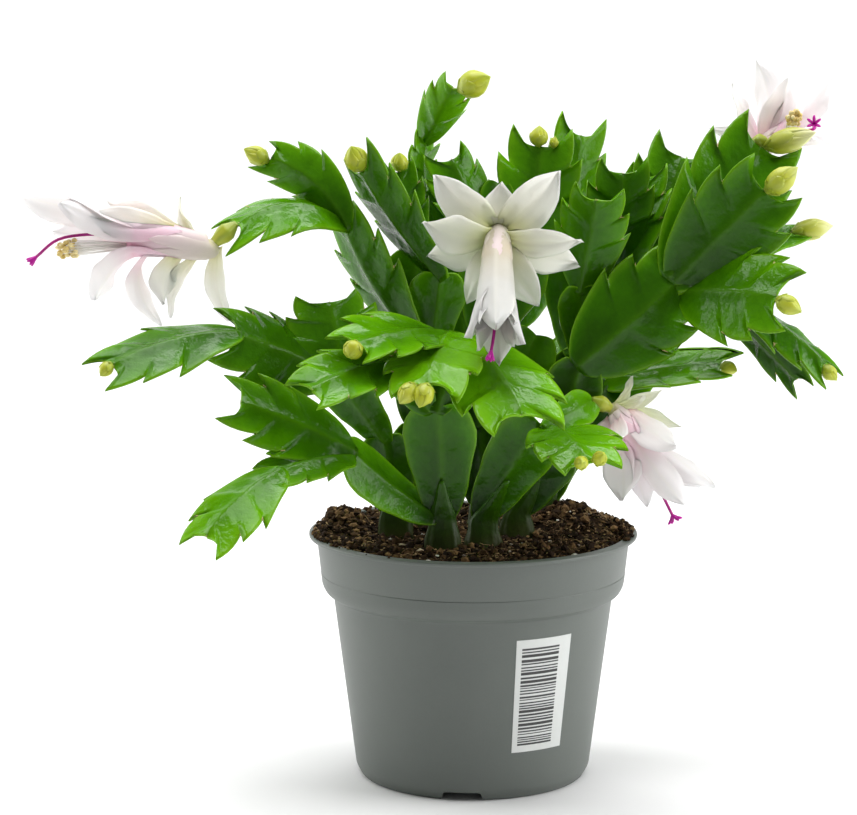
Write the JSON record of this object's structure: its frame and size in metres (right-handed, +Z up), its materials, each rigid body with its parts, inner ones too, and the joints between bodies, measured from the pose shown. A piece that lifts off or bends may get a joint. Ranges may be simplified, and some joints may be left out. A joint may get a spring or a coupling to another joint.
{
  "type": "potted christmas cactus",
  "caption": "Christmas cactus with flat toothed stem segments, white open blooms and closed buds, growing in a round plastic pot.",
  "frame": {"origin": "middle of the pot's underside, on the flat pad that it stands on", "axes": "+Z up out of the pot, +X to the right as the picture shows it, +Y away from the viewer"},
  "size_m": [0.2944, 0.1951, 0.2598],
  "materials": {
    "pot": "matte",
    "soil": "matte",
    "foliage": "satin",
    "bud": "satin",
    "petal": "satin",
    "style": "satin",
    "stamen": "matte"
  },
  "bodies": {
    "root": {"bloom_front_petals": "petal", "bloom_front_receptacle": "bud", "bloom_front_style": "style", "bloom_left_petals": "petal", "bloom_left_receptacle": "bud", "bloom_left_stamens": "stamen", "bloom_left_style": "style", "bloom_right_high_petals": "petal", "bloom_right_high_receptacle": "bud", "bloom_right_high_stamens": "stamen", "bloom_right_high_style": "style", "bloom_right_low_petals": "petal", "bloom_right_low_receptacle": "bud", "bloom_right_low_style": "style", "bud_beads": "bud", "bud_far_left": "bud", "bud_flag": "bud", "bud_flat_top": "bud", "bud_flat_top_small": "bud", "bud_front_left": "bud", "bud_front_right": "bud", "bud_inner_left": "bud", "bud_ledge": "bud", "bud_left_high": "bud", "bud_right_drop": "bud", "bud_right_high": "bud", "bud_right_lower": "bud", "bud_right_middle": "bud", "bud_right_slim": "bud", "bud_shelf_left": "bud", "bud_shelf_right": "bud", "bud_top": "bud", "bud_twig": "bud", "leafy_stem_back": "foliage", "leafy_stem_back_left": "foliage", "leafy_stem_back_right": "foliage", "leafy_stem_centre": "foliage", "leafy_stem_front": "foliage", "leafy_stem_front_right": "foliage", "leafy_stem_left": "foliage", "leafy_stem_mid_left": "foliage", "leafy_stem_right": "foliage", "pot": "pot", "soil": "soil"}
  },
  "joints": []
}
